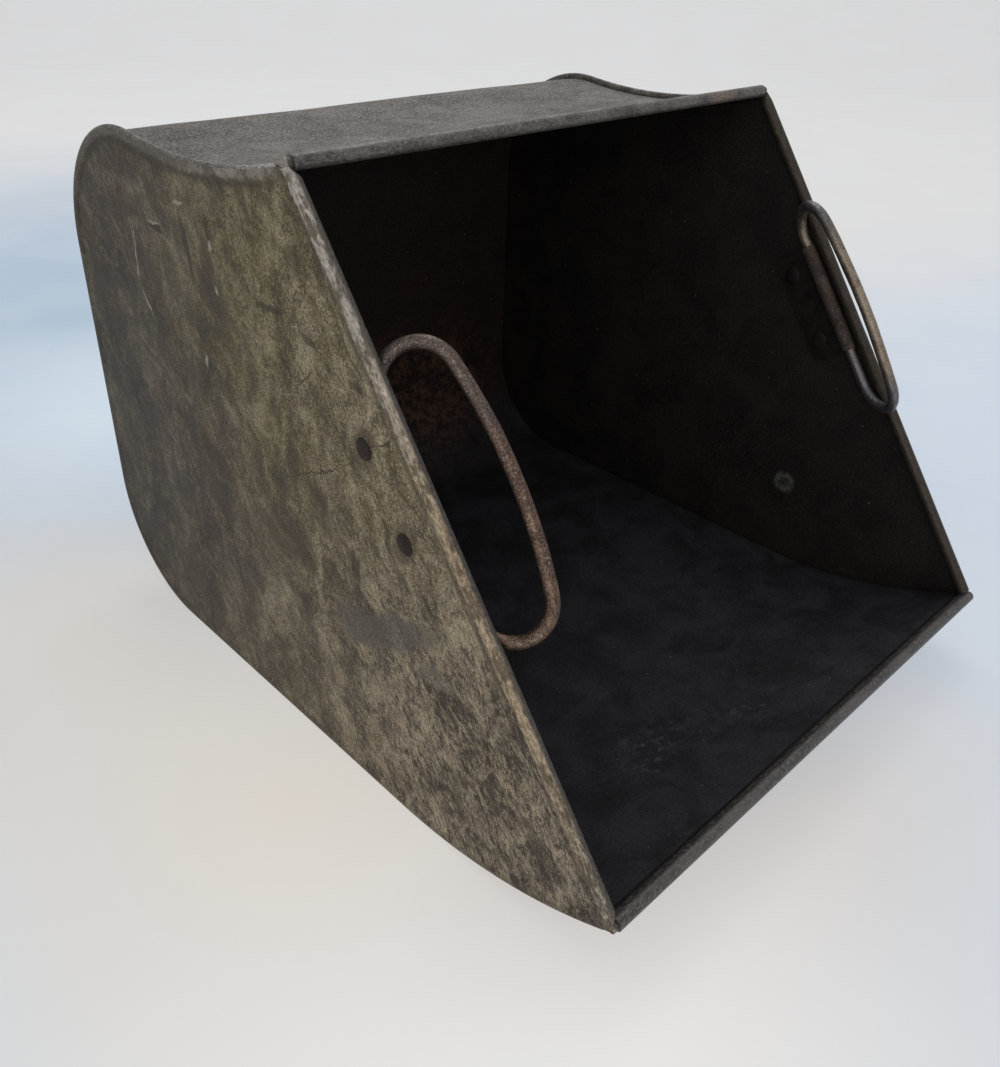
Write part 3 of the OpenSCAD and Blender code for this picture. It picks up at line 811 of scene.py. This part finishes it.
def point_in(poly, pts):
    """Which points lie inside a polygon."""
    out = np.zeros(len(pts), bool)
    x, y = pts[:, 0], pts[:, 1]
    for a, b in zip(poly, np.roll(poly, -1, 0)):
        if a[1] == b[1]:
            continue
        cross = (a[1] > y) != (b[1] > y)
        out ^= cross & (x < (b[0] - a[0]) * (y - a[1]) / (b[1] - a[1]) + a[0])
    return out


def field_points(border, roll_from, roll_to):
    """Points inside a side's border: loose ones, and rows beside the seam and the roll."""
    loose = hex_points(4.2)
    depth, inset = depth_of(loose)
    rows = [loose[(depth > 9.5) & (inset > 10.5)]]
    for d in (2.0, 2.8, 3.6, 4.4, 5.0, 5.6, 6.2, 6.8, 7.4, 8.2, 9.2):
        rows.append(cut_outline(d, SEAM_STOP + 0.9 * d)[::1 if d < 7 else 2])
    for i in (4.4, 5.4, 6.0, 6.6, 7.2, 8.0, 9.2):
        along = np.linspace(roll_from + 1.4 * i, roll_to - 1.4 * i, 130)
        rows.append(edge_point(along, np.full(130, i)))
    inner = np.concatenate(rows)
    return inner[point_in(border, inner)]


def add_field(build, seam, mouth_along, middle, seed):
    """A side's sheet between seam and roll: dented, set in, and flat behind its bracket."""
    dent = waves(seed, 20, 45, 190)
    roll_from, roll_to = mouth_along[0], mouth_along[-1]
    mouth = edge_point(mouth_along, np.full(len(mouth_along), CURL_OUT))
    low = [line(mouth[-1], seam[0], 6)]
    if roll_to == CURL_TO:
        low_in = lip_point(SIDE_DEPTH, SEAM_STOP)
        low = [line(mouth[-1], low_in, 3), [low_in], line(low_in, seam[0], 3)]
    border = np.concatenate([seam, line(seam[-1], mouth[0], 6), mouth, *low])
    n = len(border)
    loop = [(k, (k + 1) % n) for k in range(n)]
    points = [tuple(p) for p in np.concatenate([border, field_points(border, roll_from, roll_to)])]
    verts, _, faces, origin, _, _ = delaunay_2d_cdt(points, loop, [list(range(n))], 1, 1e-4)
    flat = np.array([tuple(v) for v in verts])
    depth, inset = depth_of(flat)
    clear = smooth((inset - 5.2) / 2.4)
    valley = np.exp(-((depth - VALLEY) / 1.3) ** 2) * clear * smooth((flat[:, 1] - 170) / 50)
    step = smooth((depth - 2.8) / 3.4) * clear
    sag = dent(flat) * smooth((depth - 8) / 30) * smooth((inset - 8) / 30)
    hub = edge_point(np.array([middle]), np.array([AXIS_INSET + 10]))[0]
    calm = smooth((np.hypot(*(flat - hub).T) - 24) / 40)
    x = HALF_WIDTH - FIELD_SET_IN * step + SIDE_DENT * sag * calm - 0.05 * step - 0.32 * valley
    outer_ids = build.add(place(x, flat))
    inner_ids = build.add(place(x - SHEET, flat))
    for f in faces:
        if len(set(f)) < 3:
            continue
        a, b, c = (flat[k] for k in f[:3])
        if (b[0] - a[0]) * (c[1] - a[1]) - (b[1] - a[1]) * (c[0] - a[0]) < 0:
            f = f[::-1]
        build.face([outer_ids + k for k in f], 0)
        build.face([inner_ids + k for k in f[::-1]], 1)
    # the sheet's edge between the seam and the roll, at both corners
    back = {whole: k for k, wholes in enumerate(origin) for whole in wholes}
    last_mouth = len(seam) + 5 + len(mouth) - 1
    for k in (*range(len(seam) - 1, len(seam) + 5), *range(last_mouth, n)):
        a, b = back[k], back[(k + 1) % n]
        build.face((outer_ids + a, inner_ids + a, inner_ids + b, outer_ids + b), 0)


def add_fold(build, bead):
    """A side's edge folded over the flange, with its hem inside."""
    mid, small = HALF_WIDTH - bead, bead - SHEET
    low = mid - bead
    turn = np.linspace(0, 180, 13)
    skins = []
    for r, out in ((bead, 0.0), (small, SHEET)):
        path = [(bead - r * sin(radians(t)), mid + r * cos(radians(t))) for t in turn]
        slope = 1 - 2 * (r == small)
        path += [(depth, low + out + slope * rise) for depth, rise in HEM]
        skins.append(np.stack([place(px, cut_outline(pd, SEAM_STOP)) for pd, px in path], 1))
    two_skins(build, *skins, close=(True, True, False, True), slot=2, inner_slot=1)


def add_roll(build, mouth_along):
    """The roll round the wire along the mouth, drawn in to a blunt tip at its open corners."""
    turn = np.linspace(0, CURL_ANGLE, 34)
    tip = 1 - smooth((mouth_along - mouth_along[0]) / TIP_LENGTH)
    if mouth_along[-1] != CURL_TO:
        tip = np.maximum(tip, 1 - smooth((mouth_along[-1] - mouth_along) / TIP_LENGTH))
    skins = []
    for r in (CURL_OUT, CURL_OUT - SHEET):
        t = np.radians(90 + turn)
        rad = (r - TIP_TAPER * tip)[:, None] + 0 * turn
        middle_x = HALF_WIDTH - CURL_OUT + TIP_TAPER * tip[:, None]
        pts = edge_point(mouth_along[:, None] + 0 * rad, CURL_OUT + rad * np.cos(t))
        skins.append(place(middle_x + rad * np.sin(t), pts))
    two_skins(build, *skins, close=(True, True, False, True), slot=2, inner_slot=1)


def mark_plate(obj):
    """Keeps at each point how much of the raised seam it has, and of the valley beside that."""
    co = np.empty(len(obj.data.vertices) * 3)
    obj.data.vertices.foreach_get("co", co)
    co = co.reshape(-1, 3) * 1000
    depth, inset = depth_of(np.stack([co[:, 1] + FRONT + BOX_DEPTH / 2, co[:, 2]], 1))
    away = smooth((inset - 4.5) / 2)
    bead = (1 - smooth((depth - 3.2) / 2.2)) * away
    valley = np.exp(-((depth - VALLEY) / 1.7) ** 2) * away
    for label, values in (("bead", bead), ("valley", valley)):
        obj.data.attributes.new(label, "FLOAT", "POINT").data.foreach_set("value", values.astype(np.float32))


def side(word, mirror, middle, seed):
    """A side: its field, its folded seam and its roll along the mouth."""
    roll_from, roll_to = ROLL_SPAN[word]
    # more stations near the ends, where the roll tapers
    share = np.linspace(0, 1, 150)
    mouth_along = roll_from + (roll_to - roll_from) * (share - 0.045 * np.sin(2 * pi * share))
    mouth_along[-1] = roll_to
    build = Build()
    add_field(build, cut_outline(BEAD, SEAM_STOP), mouth_along, middle, seed)
    add_fold(build, BEAD)
    add_roll(build, mouth_along)
    obj = build.make(word + "_plate", [PLATE, INSIDE, SEAM], mirror=mirror, angle=35)
    mark_plate(obj)
    finish_piece(obj, "box", word + "_side")


def sweep(build, path, out, radius, around):
    """A tube along path[n], with out[n] square to it."""
    ahead = np.roll(path, -1, 0) - np.roll(path, 1, 0)
    ahead[0], ahead[-1] = path[1] - path[0], path[-1] - path[-2]
    ahead /= np.linalg.norm(ahead, axis=1)[:, None]
    second = np.cross(ahead, out)
    t = np.linspace(0, 2 * pi, around, endpoint=False)[None, :, None]
    tube = path[:, None] + radius * (np.cos(t) * out[:, None] + np.sin(t) * second[:, None])
    return build.grid(tube, loop=True)


def ring_outline():
    """A ring flat in its own plane: its half gap, straight run, two bends and bowed outer run."""
    half = RING_STRAIGHT / 2
    r = RING_BEND
    big = half / sin(HALF_BOW) + r
    width = r * (1 + cos(HALF_BOW)) + big * (1 - cos(HALF_BOW))
    a = np.linspace(HALF_BUTT_GAP, half, 34)
    t = np.linspace(0, pi - HALF_BOW, 40)[1:]
    bow = np.linspace(-HALF_BOW, HALF_BOW, 67)[1:]
    first = np.stack([r - r * np.cos(t), -half - r * np.sin(t)], 1)
    return np.concatenate([
        np.stack([0 * a, -a], 1), first,
        np.stack([width - big + big * np.cos(bow), big * np.sin(bow)], 1),
        (first * [1, -1])[::-1][1:], [[0, half]],
        np.stack([0 * a[:-1], a[::-1][1:]], 1)])


def ring(name, node, body, mirror, centre, seed):
    """A bent wire ring whose two ends butt inside its bracket."""
    up = ring_outline()
    wobble = waves(seed, 8, 40, 140, 1)
    length = np.concatenate([[0], np.cumsum(np.hypot(*np.diff(up, axis=0).T))])
    free = smooth((up[:, 0] - 6) / 16)
    turn = radians(-SWING)
    across = up[:, 0]
    lift = RING_WOBBLE * wobble(length[:, None]) * free
    ins = AXIS_INSET + across * cos(turn) - lift * sin(turn)
    x0 = HALF_WIDTH - FIELD_SET_IN - SHEET - RING_R - BRACKET_GAP - SHEET
    xs = x0 + across * sin(turn) + lift * cos(turn)
    path = place(xs, edge_point(centre + up[:, 1], ins)) * 1000
    square = np.array([cos(turn), *(-sin(turn) * INWARD)])
    build = Build()
    around = 24
    ids = sweep(build, path, np.broadcast_to(square, path.shape), RING_R, around)
    for end, flip in ((0, True), (-1, False)):
        middle = build.add(path[end])
        for k in range(around):
            f = (ids[end, k], ids[end, (k + 1) % around], middle)
            build.face(f[::-1] if flip else f)
    # the wire is worn thinner, unevenly, where it isn't in its bracket
    rough = waves(seed + 1, 40, 3, 16, 3)
    points = np.concatenate(build.points)
    tube = points[:len(path) * around]
    centre_line = np.repeat(path, around, 0)
    shrink = 1 - WIRE_WEAR * (0.6 + 0.5 * rough(tube)) * np.repeat(free, around)
    points[:len(path) * around] = centre_line + (tube - centre_line) * shrink[:, None]
    build.points = [points / 1000]
    obj = build.make(name, [WIRE], mirror=mirror, weld=0, angle=50)
    finish_piece(obj, body, node)


def bracket(name, node, mirror, middle):
    """A strip wrapped round the ring wire, its two ends laid together against the side."""
    x_side = HALF_WIDTH - FIELD_SET_IN - SHEET
    bore = RING_R + BRACKET_GAP
    r_out = bore + SHEET
    x_axis = x_side - r_out
    turn = np.radians(np.linspace(90, 360, 40))
    end = AXIS_INSET + FLANGE_REACH
    # the layer against the side, round the wire and back as the inner layer
    root = AXIS_INSET + 3.2
    outer = [(end, x_side), (root, x_side)]
    inner = [(end, x_side - SHEET), (root, x_side - SHEET)]
    outer += [(AXIS_INSET + r_out * cos(t), x_axis + r_out * sin(t)) for t in turn]
    inner += [(AXIS_INSET + bore * cos(t), x_axis + bore * sin(t)) for t in turn]
    low = x_side - 2 * SHEET - FOLD_GAP
    outer += [(AXIS_INSET + r_out + 0.5, x_axis + 1.0), (AXIS_INSET + r_out + 1.6, low), (end, low)]
    inner += [(AXIS_INSET + r_out - 0.2, x_axis + 1.5), (AXIS_INSET + r_out + 1.2, low + SHEET),
              (end, low + SHEET)]
    along = np.concatenate([[0, 0.2, 0.6], np.linspace(2, BRACKET_LENGTH - 2, 26),
                            [BRACKET_LENGTH - 0.6, BRACKET_LENGTH - 0.2, BRACKET_LENGTH]])
    along = along + middle - BRACKET_LENGTH / 2
    skins = []
    for path in (outer, inner):
        insets, xs = np.array(path).T[:, None]
        pts = edge_point(along[:, None] + 0 * insets, insets + 0 * along[:, None])
        skins.append(place(xs, pts))
    build = Build()
    two_skins(build, *skins)
    obj = build.make(name, [IRON], mirror=mirror, angle=35)
    finish_piece(obj, "box", node)


def rivet(name, node, mirror, along, seed):
    """A hammered rivet: shank and a low dome at each end."""
    x_side = HALF_WIDTH - FIELD_SET_IN
    grip = 3 * SHEET + FOLD_GAP
    centre = place(0.0, edge_point(along, AXIS_INSET + RIVET_OFFSET)) * 1000
    t = np.linspace(0, 2 * pi, 40, endpoint=False)
    rise = np.linspace(0, 1, 8) * pi / 2
    dome = [(RIVET_HEAD_R * cos(a * 0.98), RIVET_HEAD_H * sin(a)) for a in rise]
    rings = dome[::-1] + [(RIVET_SHANK_R, 0.0), (RIVET_SHANK_R, -grip)] + [(r, -grip - h) for r, h in dome]
    rng = np.random.default_rng(seed)
    uneven = 1 + 0.03 * np.sin(2 * t + rng.random() * 6) + 0.02 * np.sin(3 * t + rng.random() * 6)
    rows = []
    for r, h in rings:
        s = r * (uneven if r > RIVET_SHANK_R else 1)
        row = np.broadcast_arrays(x_side + h, centre[1] + s * np.cos(t), centre[2] + s * np.sin(t))
        rows.append(np.stack(row, 1) / 1000)
    build = Build()
    ids = build.grid(np.array(rows), loop=True)
    build.face(ids[0])
    build.face(ids[-1][::-1])
    obj = build.make(name, [IRON], mirror=mirror, angle=50)
    finish_piece(obj, "box", node)


body_sheet()
for word, flip, seed in (("left", True, 21), ("right", False, 22)):
    middle = MIDDLE[word]
    side(word, flip, middle, seed)
    ring(word + "_ring_wire", word + "_handle", word + "_ring", flip, middle + SLIP[word], seed + 10)
    bracket(word + "_wrapped_bracket", word + "_bracket", flip, middle)
    rivet(word + "_upper_rivet", word + "_rivet_upper", flip, middle - RIVET_PITCH / 2, seed + 20)
    rivet(word + "_lower_rivet", word + "_rivet_lower", flip, middle + RIVET_PITCH / 2, seed + 30)
for word in ("top_rim_wire", "bottom_rim_wire", "left_rim_wire", "right_rim_wire"):
    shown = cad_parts[word]
    shown.data.materials.clear()
    shown.data.materials.append(SEAM)


# The paper's tints in linear light: its own, then patches by place, half size and tint, the far blue first
PAPER = (0.76, 0.76, 0.765)
FAR_BLUE = ((0.10, 0.62), (0.42, 0.52), (0.46, 0.57, 0.69))
# Among the floor patches, the grey one beside the near side's back and the one in front of the lip are
# painted shadow, and the warm one under the lip is a painted glow
FLOOR_TINTS_AND_PAINTED_LIGHT = (
    ((-0.06, 0.40), (0.10, 0.13), (0.66, 0.76, 0.85)), ((0.45, -0.10), (0.55, 0.24), (0.64, 0.72, 0.82)),
    ((-0.21, 0.14), (0.09, 0.10), (0.70, 0.68, 0.66)), ((-0.18, -0.06), (0.10, 0.16), (0.86, 0.81, 0.74)),
    ((-0.135, -0.165), (0.05, 0.045), (0.76, 0.66, 0.56)), ((-0.05, -0.20), (0.12, 0.05), (0.74, 0.72, 0.71)),
    ((-0.22, -0.20), (0.13, 0.10), (0.90, 0.89, 0.885)))
# The fitted camera: azimuth, dip and roll, its place in metres, and the photo's size and lens in pixels
LOOK = (44.247, 30.885, -1.607)
CAMERA_AT = (-0.3358, -0.3015, 0.3382)
IMAGE = (1000, 1067)
FOCAL_PX = 967.5
CENTRE_PX = (482.4, 500.0)
SENSOR = 36.0
LAMP_SIZE = 1.8


def paper_sweep():
    """A pale floor that sweeps up behind, seen partly by its own light."""
    bend = np.linspace(0.1, pi / 2, 12)
    y = np.concatenate([np.linspace(-3, 2.2, 12), 2.2 + 1.2 * np.sin(bend), [3.4, 3.4]])
    z = np.concatenate([np.zeros(12), 1.2 - 1.2 * np.cos(bend), [2.5, 4.5]])
    turn = radians(-45.4)
    x, y, z = np.linspace(-5, 5, 12), y[:, None], z[:, None]
    pts = np.broadcast_arrays(x * cos(turn) - y * sin(turn), x * sin(turn) + y * cos(turn), z)
    build = Build()
    build.grid(np.stack(pts, -1), flip=True)
    f = Finish("paper")
    f.colour = PAPER
    # some of these patches are painted shadow beside and in front of the box, and a painted warm glow under
    # the lip
    for at, size, tint in (FAR_BLUE, *FLOOR_TINTS_AND_PAINTED_LIGHT):
        f.coat(tint, f.blot((*at, 0), (*size, 1), 0, 0.9))
    f.coat((0.82, 0.83, 0.85), f.span(f.noise(7, 4, 0.5), 0.4, 0.6), 0.12)
    path = f.node("LightPath").outputs
    seen = f.most(*(path[k] for k in ("Is Camera Ray", "Is Glossy Ray", "Is Transmission Ray")))
    lit, glow = (f.node(kind, {"Color": f.colour}).outputs[0] for kind in ("BsdfDiffuse", "Emission"))
    both = f.node("MixShader", {0: f.times(seen, 0.6), 1: lit, 2: glow})
    f.node("OutputMaterial", {0: both.outputs[0]})
    build.make("paper_sweep", [f.material], weld=0)


def aim(obj, right, up, back):
    """Turns a camera or lamp to the given axes."""
    obj.rotation_mode = "QUATERNION"
    obj.rotation_quaternion = Matrix(np.stack([right, up, back], 1).tolist()).to_quaternion()


def lights():
    """A soft room, a key lamp from behind and above, and a fill from the camera's side."""
    world = bpy.data.worlds.new("soft_room")
    bpy.context.scene.world = world
    world.use_nodes = True
    sky = world.node_tree.nodes["Background"].inputs
    sky["Color"].default_value = (0.97, 0.98, 1.0, 1.0)
    sky["Strength"].default_value = 0.66
    for name, where, power in (("key", (1.0, 1.2, 2.2), 18.0), ("fill", (-2.0, -1.4, 1.0), 12.0)):
        lamp = bpy.data.lights.new(name, "AREA")
        lamp.shape = "SQUARE"
        lamp.size = LAMP_SIZE
        lamp.energy = power
        lamp.color = (1.0, 0.98, 0.95)
        holder = added(name, lamp)
        holder.location = where
        back = np.array(where) / np.linalg.norm(where)
        right = np.cross([0, 0, 1], back)
        right /= np.linalg.norm(right)
        aim(holder, right, np.cross(back, right), back)


def camera():
    """The photograph's camera."""
    data = bpy.data.cameras.new("camera")
    holder = added("camera", data)
    bpy.context.scene.camera = holder
    az, el, roll = (radians(a) for a in LOOK)
    ahead = np.array([sin(az) * cos(el), cos(az) * cos(el), -sin(el)])
    right = np.cross(ahead, [0, 0, 1])
    right /= np.linalg.norm(right)
    down = np.cross(ahead, right)
    rolled_right = cos(roll) * right + sin(roll) * down
    rolled_down = -sin(roll) * right + cos(roll) * down
    aim(holder, rolled_right, -rolled_down, -ahead)
    holder.location = CAMERA_AT
    data.sensor_fit = "HORIZONTAL"
    data.sensor_width = SENSOR
    data.lens = FOCAL_PX * SENSOR / IMAGE[0]
    data.shift_x = (IMAGE[0] / 2 - CENTRE_PX[0]) / IMAGE[0]
    data.shift_y = (CENTRE_PX[1] - IMAGE[1] / 2) / IMAGE[0]
    data.clip_start, data.clip_end = 0.01, 50


paper_sweep()
lights()
camera()
bpy.context.scene.view_settings.view_transform = "Standard"
